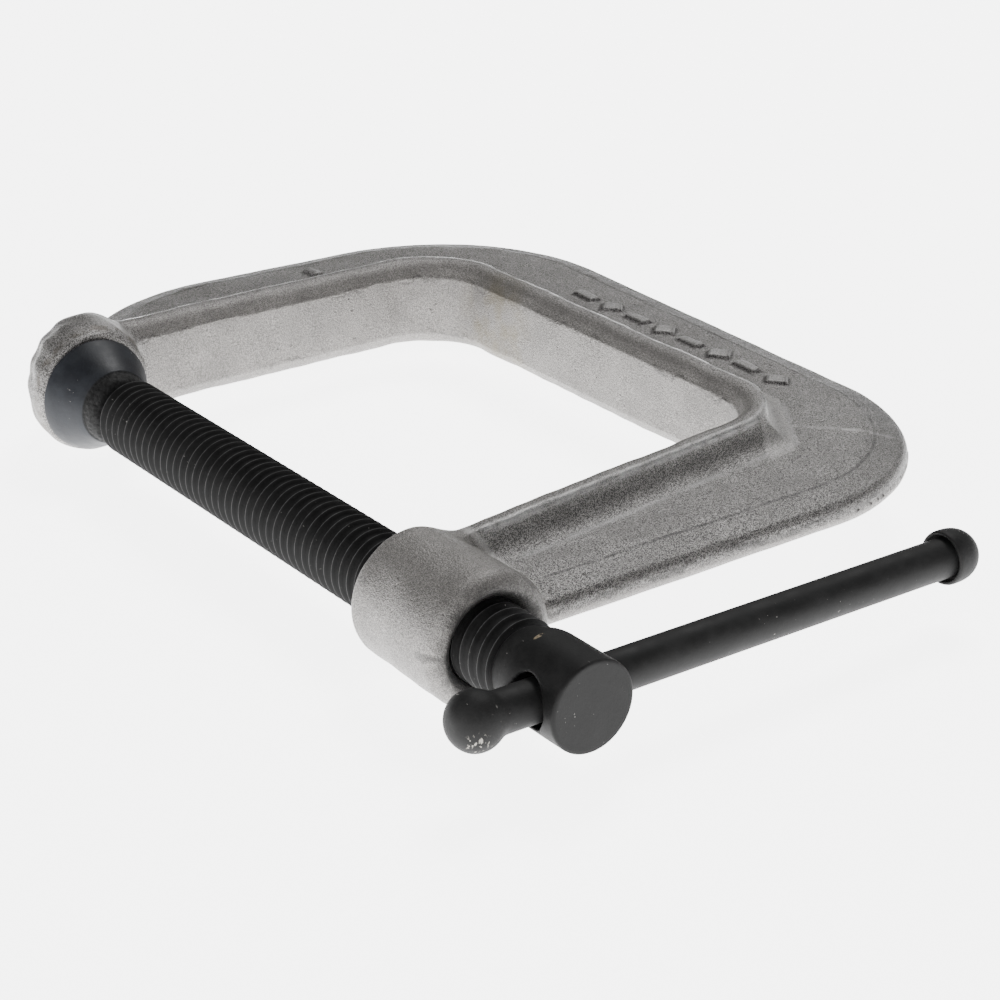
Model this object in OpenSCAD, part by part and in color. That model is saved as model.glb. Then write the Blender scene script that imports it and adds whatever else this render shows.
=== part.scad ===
// Forged G-clamp with a swivel shoe and a sliding tommy bar, lying on its side.
// The origin is the centre of the anvil face. The screw runs along +X, away from
// the anvil, the throat opens towards +Y, and +Z is square to the frame.

/* [Frame] */
// From the screw axis to the back wall of the throat
throat_depth = 76.1; // [70:0.1:84]
// How far the anvil arm's inner wall stands back from the anvil face
arm_setback = 5.5; // [5:0.1:8]
// Distance between the anvil face and the inner end of the screw boss
jaw_gap = 94.2; // [90:0.2:110]
// Height of the inner rib, above and below the middle plane
rib_half = 8.1; // [7:0.1:9]
// Height of the web, above and below the middle plane
web_half = 3.3; // [2.6:0.1:4]
// Radius of the anvil boss at its thickest
anvil_r = 12.2; // [11.6:0.1:13]
// Radius of the screw boss
boss_r = 10.1; // [9.6:0.1:11]
// Length of the screw boss
boss_len = 21.6; // [16:0.2:26]

/* [Screw] */
// Outside diameter of the thread
thread_d = 12.7; // [12:0.1:13.4]
// Thread pitch
pitch = 2; // [1.5:0.25:2.5]
// Where the thread starts, from the anvil face
thread_start = 12.1; // [11.8:0.1:13]
// Length of the threaded shank
thread_len = 110.6; // [108:0.2:124]
// Radius of the head
head_r = 6.87; // [6.6:0.01:7.5]
// Length of the head, shoulder included
head_len = 14.9; // [14:0.1:18]
// Radius of the ball on the screw's tip
ball_r = 4; // [3.6:0.1:4.2]

/* [Shoe] */
// Gap left between the shoe and the anvil when the clamp is closed
shoe_gap = 0.4; // [0.3:0.05:1]
// Radius of the shoe's clamping face
shoe_r = 9.75; // [9:0.05:10]
// Length of the shoe along the screw
shoe_len = 10.3; // [10:0.1:11]
// Radius of the shoe's mouth, outside
mouth_r = 6.4; // [6:0.1:7]

/* [Tommy bar] */
// Diameter of the bar
bar_d = 6.2; // [5.8:0.1:6.6]
// Radius of the cross hole in the head
bar_hole_r = 3.9; // [3.7:0.05:4]
// Radius of the forged ball and of the fitted cap
knob_r = 4.3; // [4.2:0.05:4.8]
// Centre of the forged ball, along the bar
ball_end = -15.1; // [-18:0.1:-14]
// Underside of the fitted cap, along the bar
cap_start = 70.7; // [60:0.1:80]
// How far the bar's long side droops in its loose hole, in degrees
bar_droop = 0.8; // [0:0.1:1.5]

/* [Hidden] */
$fn = 48;

forged = "#8c8a84";
black_oxide = "#2b2b2d";
blued = "#55575c";

running_gap = 0.05;                    // radial clearance of the running fits
boss_end = jaw_gap + boss_len;         // outer end of the screw boss
head_start = thread_start + thread_len;
head_end = head_start + head_len;
shoulder_len = 3.6;                    // tapered shoulder between thread and head
bar_x = head_end - 6.2;                // the bar's axis crosses the head here
ball_x = shoe_gap + 5.2;               // centre of the ball and of its socket

// The frame's edges, as circles joined by straights: [centre x, centre y, radius].
// Both run clockwise from the anvil, round the throat, to the screw boss.
far_r = 11.8;
near_r = 10.9;
inner_edge = [
    [-arm_setback - 0.05, 3, 0],
    [7.35, throat_depth - far_r, far_r],
    [jaw_gap - 18.3, throat_depth - near_r, near_r],
    [jaw_gap + 0.4, 2, 0]
];
anvil_turn = [0.5, 10.3, 20.3];        // the outer edge where it runs round the anvil boss
near_outer_r = 36;
outer_edge = [
    anvil_turn,
    [5.8, throat_depth - 37, 40],
    [3.5, throat_depth - 6.2, 35.6],
    [jaw_gap - 17.4, throat_depth - 9.1, near_outer_r],
    [jaw_gap - 17.4, 8, near_outer_r]
];
outer_start = 266;                     // direction of the outer edge's start, by the anvil face

mark_y = throat_depth + 15.7;          // middle of the spine's flat web
mark_height = 2 * web_half + 1.6;      // the marks stand 0.8 proud of both webs

bend_grow = 0.06;                      // how much fuller the bends are
bend_overlap = 0.5;                    // how far the straights run into the bends

// Half sections, above the middle plane: x outwards from the edge, y the height.
rib_section = [
    [0, rib_half - 1.8], [0.3, rib_half - 0.9], [1.2, rib_half - 0.2], [2.6, rib_half],
    [3.8, rib_half - 0.2], [4.5, rib_half - 0.9], [5.2, web_half + 1.9],
    [6.2, web_half + 0.7], [8.2, web_half - 0.5]
];
bead_section = [
    [-8, web_half - 0.4], [-1.8, web_half - 0.9],
    [-0.5, web_half - 1.7], [0, web_half - 2.8]
];

// Half outlines of the round pieces: x along the axis, y the radius.
anvil_outline = [
    [0, 0], [0, anvil_r - 2.4], [-0.5, anvil_r - 1.7], [-3, anvil_r - 0.6],
    [-6, anvil_r], [-9, anvil_r - 0.1], [-12.4, anvil_r - 1.1], [-15.6, anvil_r - 3.1],
    [-18.4, anvil_r - 6.2], [-20.3, anvil_r - 9.6], [-20.8, 0]
];
boss_outline = [
    [jaw_gap, 0], [jaw_gap, boss_r - 1.4], [jaw_gap + 0.7, boss_r - 0.4],
    [jaw_gap + 2, boss_r], [boss_end - 2, boss_r + 0.6], [boss_end - 0.6, boss_r + 0.2],
    [boss_end, boss_r - 0.8], [boss_end, 0]
];

// Direction of the outward normal of the straight that joins circles c and d
function straight_normal(c, d) =
    atan2(d.y - c.y, d.x - c.x) + acos((c.z - d.z) / norm([d.x - c.x, d.y - c.y]));

function normals(edge) =
    [for (i = [0 : len(edge) - 2]) straight_normal(edge[i], edge[i + 1])];

// The point of circle c at angle a, moved outwards by off
function on_circle(c, a, off = 0) =
    [c.x + (c.z + off) * cos(a), c.y + (c.z + off) * sin(a)];

// Points spread between angles a and b of circle c, moved outwards by off
function round_points(c, a, b, off) = let (steps = max(1, ceil((a - b) / 8)))
    [for (k = [0.5 : steps]) on_circle(c, a + (b - a) * k / steps, off)];

function edge_points(edge, start, off) = let (n = normals(edge), last = len(n) - 1)
    [for (i = [0 : last + 1])
        each round_points(edge[i], i == 0 ? start : n[i - 1], n[min(i, last)], off)];

function reversed(list) = [for (i = [len(list) - 1 : -1 : 0]) list[i]];

// A half section and its mirror image, made fuller all round by grow
module section(half, grow = 0) {
    middle = (half[0].x + half[len(half) - 1].x) / 2;
    full = [for (p = half) [p.x + sign(p.x - middle) * grow, p.y + grow]];
    polygon(concat(full, [for (p = reversed(full)) [p.x, -p.y]]));
}

// Sweeps a section along an edge: straights are extruded and bends are turned. The
// bends are a little fuller, so that the straights run cleanly into them.
module sweep(edge, start, half) {
    n = normals(edge);
    for (i = [0 : len(n) - 1]) {
        a = on_circle(edge[i], n[i]);
        b = on_circle(edge[i + 1], n[i]);
        into = i == 0 && start - n[0] < 1 ? 0 : bend_overlap;
        out = i == len(n) - 1 ? 0 : bend_overlap;
        translate([a.x, a.y, 0])
            rotate([90, 0, n[i]])
                translate([0, 0, -into])
                    linear_extrude(norm(b - a) + into + out) section(half);
        turn = (i == 0 ? start : n[i - 1]) - n[i];
        if (turn > 1)
            translate([edge[i].x, edge[i].y, 0])
                rotate([0, 0, n[i]])
                    rotate_extrude(angle = turn)
                        translate([edge[i].z, 0]) section(half, bend_grow);
    }
}

// Turns a half outline about the X axis
module turned_x(outline) {
    rotate([0, 90, 0])
        rotate_extrude() polygon([for (p = outline) [p.y, p.x]]);
}

module cylinder_x(from, to, r) {
    translate([from, 0, 0]) rotate([0, 90, 0]) cylinder(h = to - from, r = r);
}

// The forging: ribbed bow, anvil boss and bored screw boss in one piece.
module frame() {
    color(forged)
        difference() {
            union() {
                sweep(inner_edge, normals(inner_edge)[0], rib_section);
                sweep(outer_edge, outer_start, bead_section);
                web();
                raised_marks();
                anvil_boss();
                turned_x(boss_outline);
            }
            cylinder_x(jaw_gap - 1, boss_end + 1, thread_d / 2 + running_gap);
        }
}

// Flat web between the rib and the outer bead
module web() {
    translate([0, 0, -web_half])
        linear_extrude(2 * web_half)
            polygon(concat(
                edge_points(outer_edge, outer_start, -5),
                reversed(edge_points(inner_edge, normals(inner_edge)[0], 6))));
}

// Plain raised lozenges and bars on the spine's web, top and bottom
module raised_marks() {
    for (i = [0 : 7])
        translate([20 + 7.4 * i, mark_y, 0])
            rotate([0, 0, i % 2 == 0 ? 0 : 45])
                cube(i % 2 == 0 ? [5, 2, mark_height] : [3.4, 3.4, mark_height], center = true);
}

// The anvil boss is round about the screw's axis at its face, and turns into the arm.
module anvil_boss() {
    intersection() {
        turned_x(anvil_outline);
        translate([anvil_turn.x, anvil_turn.y, 0])
            rotate_extrude()
                intersection() {
                    translate([anvil_turn.z - anvil_r - 0.15, 0]) circle(r = anvil_r);
                    translate([0, -anvil_r]) square(2 * anvil_r + anvil_turn.z);
                }
    }
}

// The screw: ball, neck, thread as rings of the true pitch, shoulder and drilled head.
module screw() {
    color(black_oxide)
        difference() {
            union() {
                translate([ball_x, 0, 0]) sphere(r = ball_r);
                cylinder_x(ball_x, thread_start, 2.7);
                turned_x(thread_outline());
                turned_x(head_outline());
            }
            translate([bar_x, 0, 0])
                rotate([90 - bar_droop, 0, 0])
                    cylinder(h = 4 * head_r, r = bar_hole_r, center = true);
        }
}

function thread_outline() = let (
    r = thread_d / 2,
    depth = 0.55 * pitch,
    turns = floor(thread_len / pitch) - 1
) concat(
    [[thread_start - 0.8, 0], [thread_start - 0.8, r - depth]],
    [for (i = [0 : turns])
        let (x = thread_start + i * pitch)
        each [[x, r - depth], [x + 0.4 * pitch, r], [x + 0.6 * pitch, r]]],
    [[head_start, r - depth], [head_start + 0.1, r - depth], [head_start + 0.1, 0]]
);

function head_outline() = [
    [head_start, 0], [head_start, thread_d / 2 - 0.7],
    [head_start + shoulder_len, head_r], [head_end - 0.4, head_r],
    [head_end, head_r - 0.4], [head_end, 0]
];

// The shoe: a cone whose rolled mouth holds the screw's ball.
module shoe() {
    color(blued)
        difference() {
            turned_x(shoe_outline());
            translate([ball_x, 0, 0]) sphere(r = ball_r + running_gap);
            turned_x(mouth_outline());
        }
}

function shoe_outline() = let (mouth_x = shoe_gap + shoe_len - 2.7) [
    [shoe_gap, 0], [shoe_gap, shoe_r - 0.3], [shoe_gap + 0.3, shoe_r],
    [shoe_gap + 0.9, shoe_r], [mouth_x, mouth_r], [mouth_x + 1.6, mouth_r - 0.2],
    [shoe_gap + shoe_len, mouth_r - 1.1], [shoe_gap + shoe_len, 0]
];

function mouth_outline() = let (end = shoe_gap + shoe_len) [
    [ball_x + 2.4, 0], [ball_x + 2.4, 3.1], [end + 0.1, 3.9], [end + 0.1, 0]
];

// The tommy bar, with the ball forged on its near end.
module tommy_bar() {
    color(black_oxide)
        on_bar()
            rotate_extrude()
                polygon(bar_outline());
}

function bar_outline() = let (r = bar_d / 2) [
    [0, ball_end - 3.8], [1.8, ball_end - 3.5], [3.2, ball_end - 2.6],
    [4.1, ball_end - 1.3], [knob_r, ball_end], [knob_r - 0.15, ball_end + 1.3],
    [knob_r - 0.7, ball_end + 2.6], [r, ball_end + 4.2], [r, cap_start + 2.6],
    [0, cap_start + 2.6]
];

// The cap, pressed on the bar's other end once the bar is through the head.
module bar_cap() {
    color(black_oxide)
        on_bar()
            rotate_extrude()
                polygon(cap_outline());
}

function cap_outline() = let (r = bar_d / 2) [
    [0, cap_start + 2.6], [r, cap_start + 2.6], [r, cap_start + 0.9],
    [r + 0.5, cap_start + 0.9], [r + 0.5, cap_start], [knob_r - 0.4, cap_start],
    [knob_r - 0.1, cap_start + 1.2], [knob_r - 0.15, cap_start + 2.8],
    [knob_r - 0.8, cap_start + 4.6], [2.2, cap_start + 5.9], [0, cap_start + 6.4]
];

// Puts a piece turned about Z on the bar's axis, with +Z towards the cap
module on_bar() {
    translate([bar_x, 0, 0]) rotate([-90 - bar_droop, 0, 0]) children();
}

frame();
screw();
shoe();
tommy_bar();
bar_cap();
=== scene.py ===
import math

import bpy
import numpy as np
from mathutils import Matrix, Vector


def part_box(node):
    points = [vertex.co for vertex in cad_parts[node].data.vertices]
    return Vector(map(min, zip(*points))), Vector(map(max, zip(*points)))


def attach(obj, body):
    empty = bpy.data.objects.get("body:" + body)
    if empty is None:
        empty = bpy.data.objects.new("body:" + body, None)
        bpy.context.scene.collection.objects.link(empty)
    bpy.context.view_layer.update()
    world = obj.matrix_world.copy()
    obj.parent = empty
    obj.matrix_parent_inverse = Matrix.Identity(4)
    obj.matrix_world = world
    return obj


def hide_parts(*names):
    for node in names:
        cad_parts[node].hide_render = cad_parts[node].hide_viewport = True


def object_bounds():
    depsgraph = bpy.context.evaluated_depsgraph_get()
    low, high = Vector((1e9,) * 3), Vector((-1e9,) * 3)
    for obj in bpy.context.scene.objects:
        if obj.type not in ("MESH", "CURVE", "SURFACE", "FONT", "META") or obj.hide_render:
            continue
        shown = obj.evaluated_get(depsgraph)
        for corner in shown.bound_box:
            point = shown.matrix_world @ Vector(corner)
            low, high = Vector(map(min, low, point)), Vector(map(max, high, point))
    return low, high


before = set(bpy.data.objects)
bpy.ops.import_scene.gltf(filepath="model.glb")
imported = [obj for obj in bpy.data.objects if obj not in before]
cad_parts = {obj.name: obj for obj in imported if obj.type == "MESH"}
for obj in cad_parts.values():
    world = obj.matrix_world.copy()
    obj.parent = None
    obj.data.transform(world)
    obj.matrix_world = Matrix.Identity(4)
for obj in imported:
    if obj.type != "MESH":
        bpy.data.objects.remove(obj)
cad_low, cad_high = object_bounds()
MM = 0.001


# ---------------------------------------------------------------- the forged frame
# One drop forging in steel: a bow with a tall rib round the throat and a thin web behind it,
# a solid anvil boss and a bored screw boss. It was trimmed along its parting line, then shot
# blasted, so it is grainy and grey, with soft edges.
frame_low, frame_high = (np.array(corner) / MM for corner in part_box("frame"))

boss_end = frame_high[0]
gap = boss_end - 21.6
back_wall = frame_high[1] - 29.4
rib_top = 8.13
web_half = 3.9
bore_r = 6.45
boss_r = 10.1
anvil_r = 12.2
mark_rise = 0.8
rim_start = math.radians(266)

# Each edge is a chain of arcs joined by straights, run clockwise: centre x, centre y, radius
THROAT = [(-5.55, 3, 0), (7.35, back_wall - 11.8, 11.8),
          (gap - 18.3, back_wall - 10.9, 10.9), (gap + 0.4, 2, 0)]
RIM = [(0.5, 10.3, 20.3), (5.8, back_wall - 37, 40), (3.5, back_wall - 6.2, 35.6),
       (gap - 17.4, back_wall - 9.1, 36), (gap - 17.4, 0, 36)]


def straight_normal(c, d):
    """The outward direction of the straight that joins arc c to arc d."""
    dx, dy = d[0] - c[0], d[1] - c[1]
    return math.atan2(dy, dx) + math.acos((c[2] - d[2]) / math.hypot(dx, dy))


def outside(x, y, edge, start=None):
    """Distance outside an edge, in mm, and below 0 inside it."""
    normals = [straight_normal(c, d) for c, d in zip(edge, edge[1:])]
    normals.insert(0, normals[0] if start is None else start)
    best = np.full(np.broadcast(x, y).shape, -1e3)

    def offer(value, valid):
        better = valid & (np.abs(value) < np.abs(best))
        best[better] = value[better]

    for i, (cx, cy, r) in enumerate(edge):
        dx, dy = x - cx, y - cy
        first = normals[i]
        last = normals[min(i + 1, len(edge) - 1)]
        turned = np.mod(np.arctan2(dy, dx) - last, 2 * math.pi)
        offer(np.hypot(dx, dy) - r, turned <= first - last + 1e-6)
        if i == len(edge) - 1:
            break
        nx, ny = math.cos(last), math.sin(last)
        ax, ay = cx + r * nx, cy + r * ny
        end_x, end_y, end_r = edge[i + 1]
        length = math.hypot(end_x + end_r * nx - ax, end_y + end_r * ny - ay)
        along = (x - ax) * ny - (y - ay) * nx
        valid = np.ones(best.shape, bool)
        if i > 0:
            valid &= along >= 0
        if i < len(edge) - 2:
            valid &= along <= length
        offer((x - ax) * nx + (y - ay) * ny, valid)
    return best


def round_max(a, b, r):
    """The part that two solids share, with its edge rounded to radius r."""
    return np.minimum(np.maximum(a, b), -r) + np.hypot(np.maximum(a + r, 0), np.maximum(b + r, 0))


def round_min(a, b, r):
    """Two solids as one, with a fillet of radius r between them."""
    return -round_max(-a, -b, r)


def mitred(x, y):
    """Distances behind the throat's walls as if their corners were mitred: to the cut corners, to the
    hips that run out from them, into the near corner's flat, and from the near corner's own mitre."""
    far_n = straight_normal(THROAT[0], THROAT[1])
    near_n = straight_normal(THROAT[2], THROAT[3])
    far = (x - THROAT[0][0]) * math.cos(far_n) + (y - THROAT[0][1]) * math.sin(far_n)
    near = (x - THROAT[3][0]) * math.cos(near_n) + (y - THROAT[3][1]) * math.sin(near_n)
    back = y - back_wall
    walls = np.maximum(np.maximum(far, near), back)
    flats = np.full(walls.shape, -1e3)
    hips = np.full(walls.shape, -1e3)
    far_corner = (THROAT[0][0] - 1.4, (far_n + math.pi / 2) / 2, 3.2)
    near_corner = (THROAT[3][0] - 9.25, math.radians(55), 4.0)
    for corner_x, angle, cut in (far_corner, near_corner):
        out = (x - corner_x) * math.cos(angle) + (y - back_wall) * math.sin(angle)
        flats = np.maximum(flats, out + cut)
        hips = np.maximum(hips, 5.6 + 0.49 * (out - 4.5))
    patch = np.minimum(0.5 * (x - corner_x) + 0.866 * back + 1.4, np.minimum(4.3 - out, 10.2 - walls))
    return np.maximum(walls, flats), np.maximum(walls, hips), patch, np.abs(near - back)


def marks(x, y):
    """Distance outside the plain raised bars and lozenges on the spine, and one bar on the far arm."""
    shape = np.full(np.broadcast(x, y).shape, 1e3)
    for i in range(8):
        along = np.abs(x - 20 - 7.4 * i)
        across = np.abs(y - back_wall - 15.7)
        if i % 2 == 0:
            mark = np.maximum(along - 2.6, across - 1.15)
        else:
            mark = 0.707 * (along + across) - 1.85
        shape = np.minimum(shape, mark)
    return np.minimum(shape, np.maximum(np.abs(x + 21.6) - 2.2, np.abs(y - back_wall + 17.6) - 0.9))


def forging(x, y, z):
    """Below 0 inside the frame, in mm."""
    s = outside(x, y, THROAT)
    rim = outside(x, y, RIM, rim_start) - 0.25
    flat, hip, _, _ = mitred(x, y)
    h = np.abs(z)
    slow_y = 0.27 * y + 1.1 * np.sin(0.13 * x) + 0.2 * z
    uneven = (0.10 * np.sin(0.31 * x + 1.7 * np.sin(0.11 * y)) * np.sin(slow_y)
              + 0.05 * np.sin(0.83 * x + 0.4 * y) * np.sin(0.71 * y - 0.3 * x + 0.5 * z))
    # the rib: a big rounding towards the throat, a crest, and a steep flank that is squarer at its foot
    foot = np.clip((rib_top - h) / 2.4, 0, 1)
    behind = s * (1 - foot) + flat * foot
    rib = round_max(-s, h - rib_top, 3.05)
    rib = round_max(rib, 0.937 * (behind - 4.3) + 0.348 * (h - 8.1), 0.5)
    # the web, a little thinner away from the rib, then the shoulder that drops to the parting line
    web = web_half - 0.055 * (hip - 6)
    plate = np.maximum(h - web, 0.97 * (h - 2.0 + 0.24 * (rim + 1)))
    rim = rim - 0.22 * (z < 0)
    plate = round_max(plate, rim, 1.4)
    plate = np.maximum(plate, 1 - s)
    metal = round_min(rib, plate, 2.6)
    proud = round_max(0.85 * marks(x, y), h - web - mark_rise, 0.5)
    metal = round_min(metal, proud, 0.45)
    metal = np.maximum(metal, 1.5 - y)
    # the anvil boss: round at its face, domed behind, and turning into the far arm
    off_axis = np.hypot(y, z)
    swell = np.clip(-x / 7, 0, 1)
    side = off_axis - anvil_r + 1.7 - 1.7 * swell * (2 - swell)
    back = anvil_r * (np.hypot((x + 8) / 12.7, off_axis / anvil_r) - 1)
    dome = np.where(x > -8, side, back)
    turn = np.hypot(np.maximum(np.hypot(x - 0.5, y - 10.3) - 8.2, 0), z) - anvil_r
    facets = 0.22 * np.sin(1.3 * z + 0.5 * x) * np.sin(0.9 * y - 0.4 * x + 1) * np.clip(-x / 2, 0, 1)
    anvil = round_max(round_max(dome, turn, 2.5) + facets, x, 0.8)
    metal = round_min(metal, anvil, 1.6)
    # the screw boss, bored right through, with the bore flared at its outer end
    boss = round_max(off_axis - boss_r - 0.02 * (x - gap), gap - x, 1.4)
    boss = round_max(boss, x - boss_end, 2.8)
    uneven = uneven * np.clip((off_axis - 7) / 3, 0, 1) * np.clip(-rim / 4, 0.35, 1)
    metal = round_min(metal, boss, 1.3) + uneven
    flare = np.clip((x - boss_end + 2.6) / 2.6, 0, 1)
    bore = np.maximum(off_axis - bore_r - 1.9 * flare ** 2, 85 - x)
    return round_max(metal, -bore, 0.35)


def net(solid, low, high, cell):
    """A closed mesh of the surface where solid is 0: corners, quads and the surface's own normals."""
    axes = [np.arange(a - 1.5 * cell, b + 2.5 * cell, cell) for a, b in zip(low, high)]
    value = solid(axes[0][:, None, None], axes[1][None, :, None], axes[2][None, None, :])
    inside = value < 0
    shape = np.array(value.shape) - 1
    total = np.zeros((*shape, 3), np.float32)
    count = np.zeros(shape, np.int8)
    for axis in range(3):
        others = [a for a in range(3) if a != axis]
        near = [slice(None)] * 3
        far = [slice(None)] * 3
        near[axis], far[axis] = slice(0, -1), slice(1, None)
        a, b = value[tuple(near)], value[tuple(far)]
        cross = (a < 0) != (b < 0)
        t = np.where(cross, a / np.where(cross, a - b, 1), 0)
        for u in (0, 1):
            for v in (0, 1):
                pick = [slice(None)] * 3
                pick[others[0]] = slice(u, shape[others[0]] + u)
                pick[others[1]] = slice(v, shape[others[1]] + v)
                hit = cross[tuple(pick)]
                count += hit
                total[..., axis] += np.where(hit, t[tuple(pick)], 0)
                total[..., others[0]] += hit * u
                total[..., others[1]] += hit * v
    used = count > 0
    index = np.full(shape, -1)
    index[used] = np.arange(used.sum())
    cells = np.argwhere(used)
    points = np.array([axes[i][0] for i in range(3)]) + cell * (cells + total[used] / count[used][:, None])
    quads = []
    for axis in range(3):
        u, v = (axis + 1) % 3, (axis + 2) % 3
        near = [slice(1, -1)] * 3
        far = [slice(1, -1)] * 3
        near[axis], far[axis] = slice(0, -1), slice(1, None)
        a, b = inside[tuple(near)], inside[tuple(far)]
        spot = np.argwhere(a != b)
        leaving = a[tuple(spot.T)]
        spot[:, [u, v]] += 1
        ring = []
        for du, dv in ((1, 1), (0, 1), (0, 0), (1, 0)):
            corner = spot.copy()
            corner[:, u] -= du
            corner[:, v] -= dv
            ring.append(index[tuple(corner.T)])
        ring = np.stack(ring, 1)
        quads.append(np.where(leaving[:, None], ring, ring[:, ::-1]))
    quads = np.concatenate(quads)

    def slope(p):
        step = 0.05 * cell / 0.5
        sides = [np.zeros(3), np.zeros(3), np.zeros(3)]
        rise = []
        for i in range(3):
            sides[i][i] = step
            rise.append(solid(*(p + sides[i]).T) - solid(*(p - sides[i]).T))
        return np.stack(rise, 1) / (2 * step)

    for _ in range(3):
        lean = slope(points)
        size = np.maximum((lean ** 2).sum(1), 0.2)
        move = -(solid(*points.T) / size)[:, None] * lean
        points += np.clip(move, -0.4 * cell, 0.4 * cell)
    lean = slope(points)
    return points, quads, lean / np.linalg.norm(lean, axis=1)[:, None]


def piece(name, points, faces, normals=None, **fields):
    """A smooth mesh object from points in mm, with any per-point values kept as attributes."""
    mesh = bpy.data.meshes.new(name)
    faces = faces if isinstance(faces, list) else faces.tolist()
    mesh.from_pydata((points * MM).tolist(), [], faces)
    mesh.shade_smooth()
    for field, values in fields.items():
        kept = mesh.attributes.new(field, "FLOAT", "POINT")
        kept.data.foreach_set("value", np.asarray(values, np.float32))
    if normals is not None:
        mesh.normals_split_custom_set_from_vertices(normals.tolist())
    obj = bpy.data.objects.new(name, mesh)
    bpy.context.scene.collection.objects.link(obj)
    return obj


def add(tree, kind, inputs=None, **settings):
    """A node with its settings made and its inputs linked or set."""
    made = tree.nodes.new(kind)
    for key, value in settings.items():
        setattr(made, key, value)
    for key, value in (inputs or {}).items():
        if isinstance(value, bpy.types.NodeSocket):
            tree.links.new(value, made.inputs[key])
        else:
            made.inputs[key].default_value = value
    return made


def maths(tree, operation, a, b=0.0):
    return add(tree, "ShaderNodeMath", {0: a, 1: b}, operation=operation).outputs[0]


def times(tree, a, b):
    return maths(tree, "MULTIPLY", a, b)


def ramp(tree, value, low, high, to_low=0.0, to_high=1.0):
    """Value from low to high becomes to_low to to_high, smoothly and no further."""
    inputs = {0: value, 1: low, 2: high, 3: to_low, 4: to_high}
    return add(tree, "ShaderNodeMapRange", inputs, interpolation_type="SMOOTHSTEP").outputs[0]


def close_to(tree, value, centre, full, none):
    """1 where value is within full of centre, and 0 where it is none away or more."""
    away = maths(tree, "ABSOLUTE", maths(tree, "SUBTRACT", value, centre))
    return ramp(tree, away, full, none, 1, 0)


def blend(tree, factor, a, b):
    return add(tree, "ShaderNodeMix", {0: factor, 6: a, 7: b}, data_type="RGBA").outputs[2]


def paint(tree, colour, mask, strength, over):
    """The colour with another laid over it where the mask is, at a strength."""
    return blend(tree, times(tree, mask, strength), colour, over)


def grey(value, warm=0.0):
    return (value * (1 + warm), value, value * (1 - warm), 1)


def noise(tree, where, scale, detail=2.0, rough=0.5):
    inputs = {"Vector": where, "Scale": scale, "Detail": detail, "Roughness": rough}
    return add(tree, "ShaderNodeTexNoise", inputs).outputs[0]


def stored(tree, name):
    """A value kept on the mesh's points."""
    return add(tree, "ShaderNodeAttribute", attribute_name=name).outputs["Fac"]


def effect(name, *outputs, inputs=()):
    """A node group with its own sockets; returns the group and its input and output nodes."""
    group = bpy.data.node_groups.new(name, "ShaderNodeTree")
    for title, kind in inputs:
        group.interface.new_socket(title, in_out="INPUT", socket_type=kind)
    for title, kind in outputs:
        group.interface.new_socket(title, in_out="OUTPUT", socket_type=kind)
    return group, group.nodes.new("NodeGroupInput"), group.nodes.new("NodeGroupOutput")


def material(name):
    made = bpy.data.materials.new(name)
    made.use_nodes = True
    made.node_tree.nodes.clear()
    return made, made.node_tree


def in_mm(tree):
    """The point on the object, in mm."""
    where = add(tree, "ShaderNodeTexCoord").outputs["Object"]
    scale = (1000, 1000, 1000)
    return add(tree, "ShaderNodeVectorMath", {0: where, 1: scale}, operation="MULTIPLY").outputs[0]


def finish_surface(tree, colour, roughness, metallic, normal, specular=0.5, glow=0.0):
    shader = add(tree, "ShaderNodeBsdfPrincipled", {
        "Base Color": colour, "Roughness": roughness, "Metallic": metallic, "Normal": normal,
        "Specular IOR Level": specular, "Emission Color": (1, 1, 1, 1), "Emission Strength": glow})
    add(tree, "ShaderNodeOutputMaterial", {"Surface": shader.outputs[0]})


# Shot-blasted grain: fine specks, slow mottling, scattered pits and the bump they make together
blasted, g_in, g_out = effect("blasted grain", ("Specks", "NodeSocketFloat"), ("Mottle", "NodeSocketFloat"),
                              ("Pits", "NodeSocketFloat"), ("Normal", "NodeSocketVector"),
                              inputs=(("Where", "NodeSocketVector"), ("Depth", "NodeSocketFloat")))
spot = g_in.outputs["Where"]
fine = noise(blasted, spot, 6.2, 1.0, 0.5)
coarse = noise(blasted, spot, 2.6, 2.0, 0.5)
mottle = noise(blasted, spot, 0.14, 3.0, 0.6)
cells = add(blasted, "ShaderNodeTexVoronoi", {"Vector": spot, "Scale": 0.32, "Randomness": 1.0})
pits = maths(blasted, "ADD", cells.outputs["Distance"], times(blasted, mottle, 0.35))
pits = ramp(blasted, pits, 0.2, 0.27, 1, 0)
height = maths(blasted, "ADD", times(blasted, fine, 0.6), times(blasted, coarse, 0.7))
height = maths(blasted, "SUBTRACT", height, times(blasted, pits, 0.8))
bump = add(blasted, "ShaderNodeBump", {"Strength": 0.85, "Distance": g_in.outputs["Depth"], "Height": height})
specks = maths(blasted, "ADD", times(blasted, fine, 0.75), times(blasted, coarse, 0.25))
blasted.links.new(specks, g_out.inputs["Specks"])
blasted.links.new(mottle, g_out.inputs["Mottle"])
blasted.links.new(pits, g_out.inputs["Pits"])
blasted.links.new(bump.outputs[0], g_out.inputs["Normal"])

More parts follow.
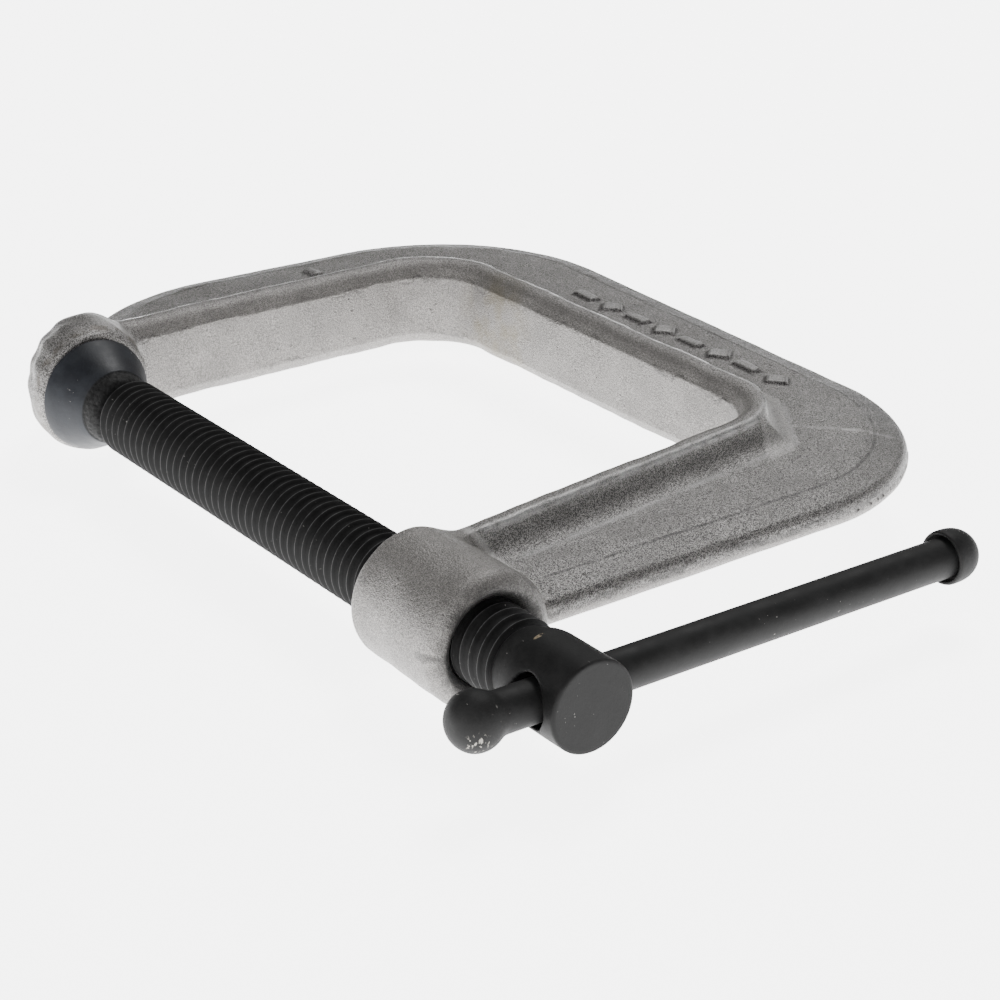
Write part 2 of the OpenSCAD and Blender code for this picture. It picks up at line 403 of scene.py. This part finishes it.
forged, tree = material("shot-blasted forged steel")
where = in_mm(tree)
grain = add(tree, "ShaderNodeGroup", node_tree=blasted)
tree.links.new(where, grain.inputs["Where"])
grain.inputs["Depth"].default_value = 0.00016
specks, mottle, pits = (grain.outputs[name] for name in ("Specks", "Mottle", "Pits"))
at = add(tree, "ShaderNodeSeparateXYZ", {0: where})
along, back = at.outputs[0], at.outputs[1]
up = maths(tree, "ABSOLUTE", at.outputs[2])
across = add(tree, "ShaderNodeCombineXYZ", {1: at.outputs[1], 2: at.outputs[2]}).outputs[0]
radial = add(tree, "ShaderNodeVectorMath", {0: across}, operation="LENGTH").outputs["Value"]
off_bosses = ramp(tree, radial, 13.0, 17.0)
from_wall = stored(tree, "from_wall")
from_rim = stored(tree, "from_rim")
from_flat = stored(tree, "from_flat")
wander = noise(tree, where, 0.35, 3.0, 0.6)
colour = blend(tree, ramp(tree, specks, 0.43, 0.58), grey(0.048, 0.035), grey(0.30, 0.035))

# cleaner, lighter steel on the throat's walls, the screw boss and under the parting line, with painted light:
# these faces turn towards the bright floor, and its reflected light is painted into their colour
clean_and_floor_lit = times(tree, ramp(tree, from_wall, 0.4, 4.4, 1, 0), ramp(tree, radial, 12.0, 15.0))
barrel = times(tree, ramp(tree, radial, 11.5, 13.0, 0.95, 0), ramp(tree, along, 60.0, 70.0))
under = times(tree, ramp(tree, at.outputs[2], -0.6, 0.2, 1, 0), ramp(tree, from_rim, 2.0, 3.0, 1, 0))
clean_and_floor_lit = maths(tree, "MAXIMUM", maths(tree, "MAXIMUM", clean_and_floor_lit, barrel), under)
clean_lit_steel = blend(tree, ramp(tree, specks, 0.40, 0.62), grey(0.135, 0.05), grey(0.25, 0.05))
# painted floor light and cleaner steel laid over the grain
colour = paint(tree, colour, clean_and_floor_lit, 0.85, clean_lit_steel)
colour = blend(tree, ramp(tree, mottle, 0.3, 0.7, 0, 0.3), colour, grey(0.075, 0.04))

# the worn crest of the rib, with a painted highlight: a bright glint line painted along it; further down, the
# same mask also makes the crest less rough
crest_highlight = times(tree, close_to(tree, from_wall, 4.15, 0.3, 0.85), ramp(tree, up, 6.6, 7.4))
crest_highlight = times(tree, crest_highlight, ramp(tree, along, 70.0, 84.0, 1.0, 0.35))
crest_highlight = times(tree, crest_highlight, ramp(tree, radial, 12.0, 15.0))
colour = paint(tree, colour, crest_highlight, ramp(tree, wander, 0.35, 0.6, 0.4, 1), grey(0.62, 0.01))

# painted highlight: a light line at the foot of the rib, where the fillet turns up towards the light
foot = times(tree, close_to(tree, from_flat, 8.7, 0.1, 0.9), ramp(tree, mottle, 0.35, 0.6, 0.25, 1))
colour = paint(tree, colour, times(tree, foot, 0.3), off_bosses, grey(0.4, 0.01))

# painted highlights: the flat across the near corner painted bright as if catching the light, and a light
# line along the hip that runs out from it
near_end = times(tree, ramp(tree, from_wall, 4.0, 4.8), ramp(tree, along, 50.0, 60.0))
facet_highlight = times(tree, ramp(tree, stored(tree, "from_facet"), -0.35, 0.3), near_end)
facet_lit_steel = blend(tree, ramp(tree, specks, 0.40, 0.62), grey(0.22, 0.03), grey(0.42, 0.03))
colour = paint(tree, colour, facet_highlight, 0.6, facet_lit_steel)
# painted highlight along the hip ridge
hip = times(tree, ramp(tree, stored(tree, "from_hip"), 0.2, 1.1, 1, 0), ramp(tree, from_flat, 8.0, 10.0))
broken = times(tree, ramp(tree, wander, 0.35, 0.6, 0.2, 1), ramp(tree, from_rim, 1.5, 3.0))
colour = paint(tree, colour, times(tree, hip, broken), 0.65, grey(0.4, 0.02))

# painted shade: the shoulder behind the spine painted darker where it slopes away from the light, and a thin
# dark line of shade in the crease where the web falls to the shoulder
shoulder_shade = times(tree, ramp(tree, from_rim, 3.6, 5.4, 1, 0), ramp(tree, back, 84.0, 98.0))
colour = paint(tree, colour, shoulder_shade, 0.45, grey(0.045, 0.03))
crease_shade = times(tree, close_to(tree, from_rim, 5.1, 0.1, 0.4), ramp(tree, up, 2.2, 2.6))
crease_shade = times(tree, crease_shade, ramp(tree, wander, 0.3, 0.6, 0.3, 1))
colour = paint(tree, colour, times(tree, crease_shade, off_bosses), 0.65, grey(0.03, 0.03))

# painted highlight: a bright, uneven line along the fillets where the arms run into the two bosses
junction_highlight = maths(tree, "ADD", radial, times(tree, wander, 2.0))
junction_highlight = times(tree, close_to(tree, junction_highlight, 13.0, 0.2, 1.1), ramp(tree, up, 1.5, 3.5))
from_middle = maths(tree, "ABSOLUTE", maths(tree, "SUBTRACT", along, 45.0))
junction_highlight = times(tree, junction_highlight, ramp(tree, from_middle, 45.0, 48.0))
junction_highlight = times(tree, junction_highlight, ramp(tree, back, 2.0, 6.0))
colour = paint(tree, colour, junction_highlight, 0.45, grey(0.45, 0.02))

# the marks: rubbed tops, and darker round their feet
from_mark = stored(tree, "from_mark")
on_web = ramp(tree, up, 2.4, 2.8)
tops = times(tree, ramp(tree, from_mark, -0.25, 0.05, 1, 0), on_web)
colour = paint(tree, colour, tops, 0.35, grey(0.30, 0.02))
feet = times(tree, close_to(tree, from_mark, 0.35, 0.1, 0.45), on_web)
colour = paint(tree, colour, feet, 0.35, grey(0.035, 0.03))

# painted shade: broken dark lines of shade along the throat's walls and along the parting line, where the
# flash was trimmed and the lower half stands out a little
trim_shade = close_to(tree, up, ramp(tree, wander, 0.3, 0.7, 4.4, 6.0), 0.1, 0.45)
trim_shade = times(tree, trim_shade, ramp(tree, from_wall, 0.9, 1.2, 1, 0))
trim_shade = times(tree, trim_shade, ramp(tree, noise(tree, where, 0.09, 2.0), 0.45, 0.6))
colour = paint(tree, colour, trim_shade, 0.5, grey(0.04, 0.04))
# painted shade along the parting line's ledge
parting_shade = close_to(tree, at.outputs[2], ramp(tree, wander, 0.3, 0.7, -0.1, 0.9), 0.15, 0.75)
parting_shade = times(tree, parting_shade, ramp(tree, from_rim, 1.2, 1.8, 1, 0))
parting_shade = times(tree, parting_shade, ramp(tree, noise(tree, where, 0.12, 2.0), 0.35, 0.6, 0.35, 1))
colour = paint(tree, colour, parting_shade, 0.65, grey(0.03, 0.03))
colour = paint(tree, colour, pits, 0.5, grey(0.07, 0.05))

# darker round the bore, a dark brown stain beside the anvil's face, and a brown stain inside the far corner
darker_round_bore = ramp(tree, maths(tree, "ADD", radial, times(tree, wander, 3.5)), 9.0, 12.6, 1, 0)
darker_round_bore = times(tree, darker_round_bore, ramp(tree, along, boss_end - 5.5, boss_end - 1.5))
colour = paint(tree, colour, darker_round_bore, 0.9, grey(0.02, 0.02))
band = times(tree, close_to(tree, along, -1.9, 0.3, 1.3), ramp(tree, noise(tree, where, 0.5, 2.0), 0.42, 0.6))
band = times(tree, band, ramp(tree, radial, 11.4, 12.0, 1, 0))
colour = paint(tree, colour, band, 0.6, (0.07, 0.058, 0.045, 1))
stain_at = (14.0, float(back_wall), -1.0)
stain = add(tree, "ShaderNodeVectorMath", {0: where, 1: stain_at}, operation="DISTANCE").outputs["Value"]
stain = times(tree, ramp(tree, stain, 4, 13, 1, 0), ramp(tree, noise(tree, where, 0.22, 3.0), 0.35, 0.65))
colour = paint(tree, colour, stain, 0.6, (0.14, 0.12, 0.075, 1))

roughness = ramp(tree, specks, 0.3, 0.7, 0.60, 0.42)
roughness = maths(tree, "SUBTRACT", roughness, times(tree, crest_highlight, 0.22))
finish_surface(tree, colour, roughness, 0.6, grain.outputs["Normal"])

cell = 0.55
points, quads, normals = net(forging, frame_low, frame_high, cell)
px, py = points[:, 0], points[:, 1]
behind, _, facets, hips = mitred(px, py)
forging_piece = piece("forging", points, quads, normals,
                      from_wall=outside(px, py, THROAT), from_rim=-outside(px, py, RIM, rim_start),
                      from_flat=behind, from_facet=facets, from_hip=hips, from_mark=marks(px, py))
forging_piece.data.materials.append(forged)
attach(forging_piece, "frame_body")
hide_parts("frame")


# ---------------------------------------------------------------- the screw
# Turned from one bar and blackened: a ball tip, a thin neck, a right-hand thread with 2 mm
# pitch, a tapered shoulder and a round head drilled across for the tommy bar.
shoe_low, shoe_high = (np.array(corner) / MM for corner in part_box("shoe"))
pitch = 2.0
thread_start = 12.1
head_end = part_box("screw")[1][0] / MM
head_start = head_end - 14.9
bar_x = head_end - 6.2
ball_x = shoe_low[0] + 5.2
droop = math.radians(0.8)


def turned(outline, segments, wobble=None):
    """Points and faces of an outline of (along, radius) turned about X; its ends are on the axis."""
    outline = np.array(outline, float)
    angles = np.arange(segments) * 2 * math.pi / segments
    grid = np.zeros((len(outline), segments, 3))
    radius = outline[:, 1][:, None] * np.ones(segments)
    if wobble is not None:
        off_axis = outline[:, 1][:, None] > 0.01
        radius = radius + wobble(outline[:, 0][:, None], angles[None, :]) * off_axis
    grid[..., 0] = outline[:, 0][:, None]
    grid[..., 1] = radius * np.cos(angles)
    grid[..., 2] = radius * np.sin(angles)
    middle = grid[1:-1].reshape(-1, 3)
    points = np.concatenate([middle, grid[:1, 0], grid[-1:, 0]])
    first, last = len(middle), len(middle) + 1
    faces = []
    for j in range(segments):
        k = (j + 1) % segments
        faces.append([first, k, j])
        for row in range(0, (len(outline) - 3) * segments, segments):
            faces.append([row + j, row + k, row + segments + k, row + segments + j])
        top = (len(outline) - 3) * segments
        faces.append([top + j, top + k, last])
    return points, faces


def arc(cx, cr, r, start, end, count):
    """Points of an arc in an outline, its angles in degrees from the axis direction."""
    angles = np.radians(np.linspace(start, end, count))
    return [(cx + r * math.cos(a), cr + r * math.sin(a)) for a in angles]


def joined(*parts):
    """Several (points, faces) as one."""
    points, faces, offset = [], [], 0
    for p, f in parts:
        points.append(p)
        faces += [[i + offset for i in face] for face in f]
        offset += len(p)
    return np.concatenate(points), faces


def helix(start, end, columns=96):
    """The thread: one ridge that climbs a pitch each turn, its ends run out inside the neck and head."""
    steps = ((0.0, 5.45), (0.2, 5.5), (0.34, 5.9), (0.46, 6.31),
             (0.5, 6.35), (0.54, 6.31), (0.66, 5.9), (0.8, 5.5))
    turns = int((end - start) / pitch) + 3
    along = np.array([k + u for k in range(turns) for u, _ in steps])
    radius = np.array([r for _ in range(turns) for _, r in steps])
    column = np.arange(columns)
    x = start - 2 * pitch + pitch * (along[:, None] + column / columns)
    lead_in = np.clip(3.0 + 2.2 * (x - start + 0.5), 2.5, 9)
    r = np.minimum(radius[:, None], lead_in)
    r = np.where(x > end, np.minimum(r, 5.2), r)
    angle = 2 * math.pi * column / columns
    grid = np.stack([x, r * np.cos(angle), r * np.sin(angle)], 2)
    rows = len(along)
    points = np.concatenate([grid.reshape(-1, 3), [[x.min(), 0, 0], [x.max(), 0, 0]]])
    ridge = np.concatenate([np.repeat((radius - 5.2) / 1.15, columns), [0, 0]])
    n = len(steps)
    faces = []
    for i in range(rows - 1):
        for j in range(columns - 1):
            a = i * columns + j
            faces.append([a, a + 1, a + columns + 1, a + columns])
        if i + n + 1 < rows:
            seam, joins = i * columns + columns - 1, (i + n) * columns
            faces.append([seam, joins, joins + columns, seam + columns])
    left = list(range(columns)) + [k * columns for k in range(n, -1, -1)]
    top = (rows - 1) * columns
    right = [top + j for j in range(columns - 1, -1, -1)]
    right += [top] + [k * columns + columns - 1 for k in range(rows - 1 - n, rows)]
    for a, b in zip(left, left[1:]):
        if a != b:
            faces.append([rows * columns, b, a])
    for a, b in zip(right, right[1:]):
        if a != b:
            faces.append([rows * columns + 1, b, a])
    return points, faces, ridge


def head(x, y, z):
    """The drilled head, below 0 inside, in mm."""
    off_axis = np.hypot(y, z)
    metal = round_max(off_axis - 6.87, x - head_end, 0.45)
    metal = round_max(metal, 0.951 * (off_axis - 5.75 - 0.31 * (x - head_start)), 0.3)
    metal = np.maximum(metal, head_start - 0.3 - x)
    across = y * math.sin(droop) + z * math.cos(droop)
    hole = np.hypot(x - bar_x, across) - 3.85 - 0.12 * np.sin(1.1 * z + 0.8 * x) * (y < 0)
    return round_max(metal, -hole, 0.4)


tip = [(ball_x - 4, 0)] + arc(ball_x, 0, 4, 176, 42, 14)
tip += [(ball_x + 3.4, 2.72), (thread_start + 0.6, 2.7), (thread_start + 1.0, 0)]
tip_points, tip_faces = turned(tip, 48)
thread_points, thread_faces, ridge = helix(thread_start, head_start + 0.1)
head_cell = 0.24
head_points, head_quads, _ = net(head, (head_start - 1, -7, -7), (head_end, 7, 7), head_cell)
points, faces = joined((tip_points, tip_faces), (thread_points, thread_faces),
                       (head_points, head_quads.tolist()))
ridge = np.concatenate([np.zeros(len(tip_points)), ridge, np.zeros(len(head_points))])

# Handling wear on dark steel: short scratches, chipped specks, a cloudy bloom and a fine bump
handled, g_in, g_out = effect("handled dark steel", ("Scratches", "NodeSocketFloat"),
                              ("Specks", "NodeSocketFloat"), ("Cloud", "NodeSocketFloat"),
                              ("Normal", "NodeSocketVector"),
                              inputs=(("Where", "NodeSocketVector"),))
spot = g_in.outputs["Where"]
lean = add(handled, "ShaderNodeMapping", {0: spot, 2: (0.5, 0.3, 0.9), 3: (0.35, 2.2, 2.2)}).outputs[0]
lines = ramp(handled, noise(handled, lean, 0.9, 3.0, 0.55), 0.70, 0.73)
patches = ramp(handled, noise(handled, spot, 0.16, 2.0), 0.5, 0.62)
chips = ramp(handled, noise(handled, spot, 1.6, 2.0, 0.6), 0.765, 0.785)
cloud = noise(handled, spot, 0.25, 4.0, 0.6)
skin = noise(handled, spot, 4.0, 3.0, 0.6)
height = maths(handled, "ADD", skin, times(handled, noise(handled, spot, 0.9, 2.0), 1.2))
low_bump = add(handled, "ShaderNodeBump", {"Strength": 0.35, "Distance": 0.00006, "Height": height})
handled.links.new(times(handled, lines, patches), g_out.inputs["Scratches"])
handled.links.new(chips, g_out.inputs["Specks"])
handled.links.new(cloud, g_out.inputs["Cloud"])
handled.links.new(low_bump.outputs[0], g_out.inputs["Normal"])


def dark_steel(name, base, light, rough):
    """Dark satin steel with the handling wear on it; the caller adds its own marks and finishes it."""
    made, tree = material(name)
    where = in_mm(tree)
    wear = add(tree, "ShaderNodeGroup", node_tree=handled)
    tree.links.new(where, wear.inputs["Where"])
    colour = blend(tree, ramp(tree, wear.outputs["Cloud"], 0.35, 0.7), base, light)
    colour = paint(tree, colour, wear.outputs["Specks"], 0.35, grey(0.2))
    colour = paint(tree, colour, wear.outputs["Scratches"], 0.55, (0.36, 0.35, 0.33, 1))
    roughness = ramp(tree, wear.outputs["Cloud"], 0.3, 0.7, rough - 0.05, rough + 0.07)
    return made, tree, where, wear, colour, roughness


blackened, tree, where, wear, colour, roughness = dark_steel(
    "black oxide, screw", grey(0.005), grey(0.010), 0.6)
worn = ramp(tree, noise(tree, where, 0.5, 3.0), 0.3, 0.55, 0.25, 1)
rubbed = times(tree, ramp(tree, stored(tree, "ridge"), 0.93, 1.0), worn)
colour = paint(tree, colour, rubbed, 0.5, grey(0.10))
# one bright knock on the head, just past the shoulder
knock_at = (float(head_start) + 4.6, -1.2, 6.7)
knock = add(tree, "ShaderNodeVectorMath", {0: where, 1: knock_at}, operation="SUBTRACT").outputs[0]
knock = add(tree, "ShaderNodeVectorMath", {0: knock, 1: (2.6, 0.9, 0.9)}, operation="MULTIPLY").outputs[0]
knock = add(tree, "ShaderNodeVectorMath", {0: knock}, operation="LENGTH").outputs["Value"]
knock = times(tree, ramp(tree, knock, 0.6, 1.0, 1, 0), ramp(tree, noise(tree, where, 1.8, 2.0), 0.35, 0.55))
colour = paint(tree, colour, knock, 0.8, (0.30, 0.24, 0.16, 1))
finish_surface(tree, colour, roughness, 0.0, wear.outputs["Normal"], 0.14)

screw_piece = piece("screw_turned", points, faces, ridge=ridge)
screw_piece.data.materials.append(blackened)
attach(screw_piece, "screw_body")
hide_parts("screw")


# ---------------------------------------------------------------- the swivel shoe
# A turned cone of blued steel with a socket for the screw's ball. Its mouth was rolled in over
# the ball, which left a dark, rough lip.
face_x = shoe_low[0]
lip_start = face_x + 7.54
lip_end = shoe_high[0]
shoe_r = shoe_high[1]
cone_start = face_x + 1.2
cone_r = shoe_r - 0.2
socket_r = 4.05


def rough_lip(x, angle):
    """How far the rolled mouth stands out or in, round the shoe."""
    ragged = 0.09 * np.sin(9 * angle + 3 * x) + 0.07 * np.sin(23 * angle - 5 * x)
    ragged = ragged + 0.05 * np.sin(41 * angle + 2 * x)
    return ragged * np.clip((x - lip_start) / 0.5, 0, 1) * np.clip((lip_end - x) * 3, 0.3, 1)


outline = [(face_x, 0), (face_x, 4), (face_x, shoe_r - 0.35)]
outline += arc(face_x + 0.35, shoe_r - 0.35, 0.35, 180, 60, 6) + [(cone_start, cone_r)]
outline += [(cone_start + t * (lip_start - cone_start), cone_r + t * (6.42 - cone_r))
            for t in (0.2, 0.4, 0.6, 0.8, 0.97)]
outline += [(lip_start + a, r) for a, r in ((0, 6.38), (0.12, 6.16), (0.6, 6.12), (1.1, 6.05), (1.6, 5.92))]
outline += [(lip_end - a, r) for a, r in ((0.6, 5.7), (0.25, 5.4), (0.05, 4.95), (0, 4.4), (0.15, 3.95))]
outline += [(lip_end - 0.9, 3.6), (ball_x + 2.62, 3.12)]
outline += arc(ball_x, 0, socket_r, 49, 172, 12) + [(ball_x - socket_r, 0)]
points, faces = turned(outline, 128, rough_lip)

blued, tree, where, wear, colour, roughness = dark_steel(
    "blued shoe", (0.009, 0.010, 0.013, 1), (0.016, 0.018, 0.022, 1), 0.48)
at = add(tree, "ShaderNodeSeparateXYZ", {0: where})
lip = ramp(tree, at.outputs[0], float(lip_start) - 0.15, float(lip_start) + 0.1)
crusted = blend(tree, ramp(tree, noise(tree, where, 1.5, 3.0), 0.4, 0.65), grey(0.004), grey(0.012))
colour = blend(tree, lip, colour, crusted)
crust = add(tree, "ShaderNodeBump", {
    "Strength": times(tree, lip, 0.9), "Distance": 0.0002,
    "Height": noise(tree, where, 1.8, 3.0, 0.6), "Normal": wear.outputs["Normal"]})
roughness = maths(tree, "ADD", roughness, times(tree, lip, 0.2))
finish_surface(tree, colour, roughness, 0.1, crust.outputs[0], 0.22)

shoe_piece = piece("swivel_shoe", points, faces)
shoe_piece.data.materials.append(blued)
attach(shoe_piece, "shoe_body")
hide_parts("shoe")


# ---------------------------------------------------------------- the tommy bar
# A plain round bar, blackened, with a ball upset on its near end. It slides in the head's
# cross hole and hangs a little low on its long side.
cap_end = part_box("bar_cap")[1][1] / MM / math.cos(droop)
ball_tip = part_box("tommy_bar")[0][1] / MM / math.cos(droop)
bar_r = 3.1
ball_len = 8.3


def flowing(points, count):
    """A smooth line through the points of an outline."""
    points = np.array(points, float)
    step = np.concatenate([[0], np.cumsum(np.hypot(*np.diff(points, axis=0).T))])
    at = np.linspace(0, step[-1], count)
    slope = np.gradient(points, step, axis=0)
    i = np.clip(np.searchsorted(step, at, side="right") - 1, 0, len(step) - 2)
    width = (step[i + 1] - step[i])[:, None]
    t = (at[:, None] - step[i][:, None]) / width
    h = [2 * t ** 3 - 3 * t ** 2 + 1, t ** 3 - 2 * t ** 2 + t, 3 * t ** 2 - 2 * t ** 3, t ** 3 - t ** 2]
    line = h[0] * points[i] + h[1] * width * slope[i] + h[2] * points[i + 1] + h[3] * width * slope[i + 1]
    return line.tolist()


def on_bar(points):
    """Points along X become points along the drooping bar's axis, through the head's hole."""
    along, across, up = points.T
    y = along * math.cos(droop) + up * math.sin(droop)
    z = -along * math.sin(droop) + up * math.cos(droop)
    return np.stack([bar_x + across, y, z], 1)


ball = [(0, 0), (0.12, 1.3), (0.55, 2.35), (1.3, 3.25), (2.4, 4.0), (3.3, 4.25), (4.1, 4.3), (5.1, 4.15),
        (6.0, 3.8), (6.8, 3.4), (7.5, 3.16), (ball_len, bar_r)]
outline = [(ball_tip + a, max(r, 0)) for a, r in flowing(ball, 34)]
outline += [(ball_tip + ball_len + (cap_end - 3.5 - ball_tip - ball_len) * t, bar_r)
            for t in (0.02, 0.1, 0.25, 0.5, 0.75, 0.98)]
outline += [(cap_end - 3.4, bar_r), (cap_end - 3.3, 0)]
points, faces = turned(outline, 64)
bar_black, tree, where, wear, colour, roughness = dark_steel(
    "black oxide, bar", grey(0.007), grey(0.013), 0.62)
# bright scrapes on the ball, where it knocks against things
scrape_at = (float(bar_x) + 3.6, float(ball_tip) + 2.1, -1.3)
scrape = add(tree, "ShaderNodeVectorMath", {0: where, 1: scrape_at}, operation="DISTANCE")
scrape = ramp(tree, scrape.outputs["Value"], 1.0, 2.4, 1, 0)
streaks = add(tree, "ShaderNodeMapping", {0: where, 2: (0.2, 0.9, 0.4), 3: (0.6, 2.4, 1.2)}).outputs[0]
scrape = times(tree, scrape, ramp(tree, noise(tree, streaks, 1.3, 3.0), 0.57, 0.63))
colour = paint(tree, colour, scrape, 0.6, (0.42, 0.40, 0.36, 1))
finish_surface(tree, colour, roughness, 0.0, wear.outputs["Normal"], 0.16)

bar_piece = piece("tommy_bar_turned", on_bar(points), faces)
bar_piece.data.materials.append(bar_black)
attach(bar_piece, "bar_body")
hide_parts("tommy_bar")


# ---------------------------------------------------------------- the bar's cap
# A small turned cap, pressed on the far end after the bar was pushed through the head. Its
# underside has a crisp rim round a shallow recess.
underside = [(3.4, 0), (3.4, 3.05), (5.3, 3.12), (5.35, 3.5), (6.05, 3.62), (6.2, 3.75), (6.2, 3.95)]
crown = [(6.15, 4.05), (5.9, 4.15), (5.2, 4.2), (4.2, 4.17), (3.0, 3.98), (1.9, 3.5), (1.0, 2.75),
         (0.35, 1.7), (0, 0)]
cap = [(cap_end - a, r) for a, r in underside]
cap += flowing([(cap_end - a, r) for a, r in crown], 26)
points, faces = turned([(a, max(r, 0)) for a, r in cap], 64)
cap_black, tree, where, wear, colour, roughness = dark_steel(
    "black oxide, cap", grey(0.006), grey(0.012), 0.6)
finish_surface(tree, colour, roughness, 0.0, wear.outputs["Normal"], 0.16)

cap_piece = piece("bar_cap_turned", on_bar(points), faces)
cap_piece.data.materials.append(cap_black)
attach(cap_piece, "bar_body")
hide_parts("bar_cap")


# ---------------------------------------------------------------- floor, light and camera
# A flat white floor, wide enough to run out of sight and lit a little from within so that it
# stays white, two soft lamps, and the camera above it, off the screw's head.
floor_z = cad_low[2]
floor_mesh = bpy.data.meshes.new("floor")
reach = 6.0
corners = [(x * reach, y * reach, floor_z) for x, y in ((-1, -1), (1, -1), (1, 1), (-1, 1))]
floor_mesh.from_pydata(corners, [], [(0, 1, 2, 3)])
floor = bpy.data.objects.new("floor", floor_mesh)
bpy.context.scene.collection.objects.link(floor)
paper, tree = material("white paper floor")
where = in_mm(tree)
fibre = noise(tree, where, 0.4, 4.0, 0.6)
paper_bump = add(tree, "ShaderNodeBump", {"Strength": 0.05, "Distance": 0.0002, "Height": fibre})
finish_surface(tree, blend(tree, fibre, grey(0.86), grey(0.89)), 0.8, 0.0, paper_bump.outputs[0], 0.2, 5.2)
floor_mesh.materials.append(paper)

world = bpy.data.worlds.new("studio")
bpy.context.scene.world = world
world.use_nodes = True
sky = world.node_tree.nodes["Background"]
sky.inputs[0].default_value = (1, 1, 1, 1)
sky.inputs[1].default_value = 0.28

cad_size = [high - low for low, high in zip(cad_low, cad_high)]
target = Vector((cad_low[0] + 0.648 * cad_size[0], cad_low[1] + 0.389 * cad_size[1], 0))


def facing(azimuth, elevation):
    """The direction from the clamp to something at these angles, in degrees."""
    a, e = math.radians(azimuth), math.radians(elevation)
    return Vector((math.sin(a) * math.cos(e), -math.cos(a) * math.cos(e), math.sin(e)))


def lamp(name, azimuth, elevation, distance, width, power):
    light = bpy.data.lights.new(name, "AREA")
    light.size = width
    light.energy = power
    obj = bpy.data.objects.new(name, light)
    way = facing(azimuth, elevation)
    obj.location = target + distance * way
    obj.rotation_euler = (-way).to_track_quat("-Z", "Y").to_euler()
    bpy.context.scene.collection.objects.link(obj)


lamp("front", 20, 25, 0.9, 0.4, 3)
lamp("back", 215, 55, 1.0, 0.35, 7)

camera_data = bpy.data.cameras.new("camera")
camera_data.lens = 90.97
camera_data.sensor_width = 36
camera_data.clip_start = 0.01
camera = bpy.data.objects.new("camera", camera_data)
way = facing(53.43, 24.41)
camera.location = target + 0.3927 * way
camera.rotation_euler = (-way).to_track_quat("-Z", "Y").to_euler()
bpy.context.scene.collection.objects.link(camera)
bpy.context.scene.camera = camera
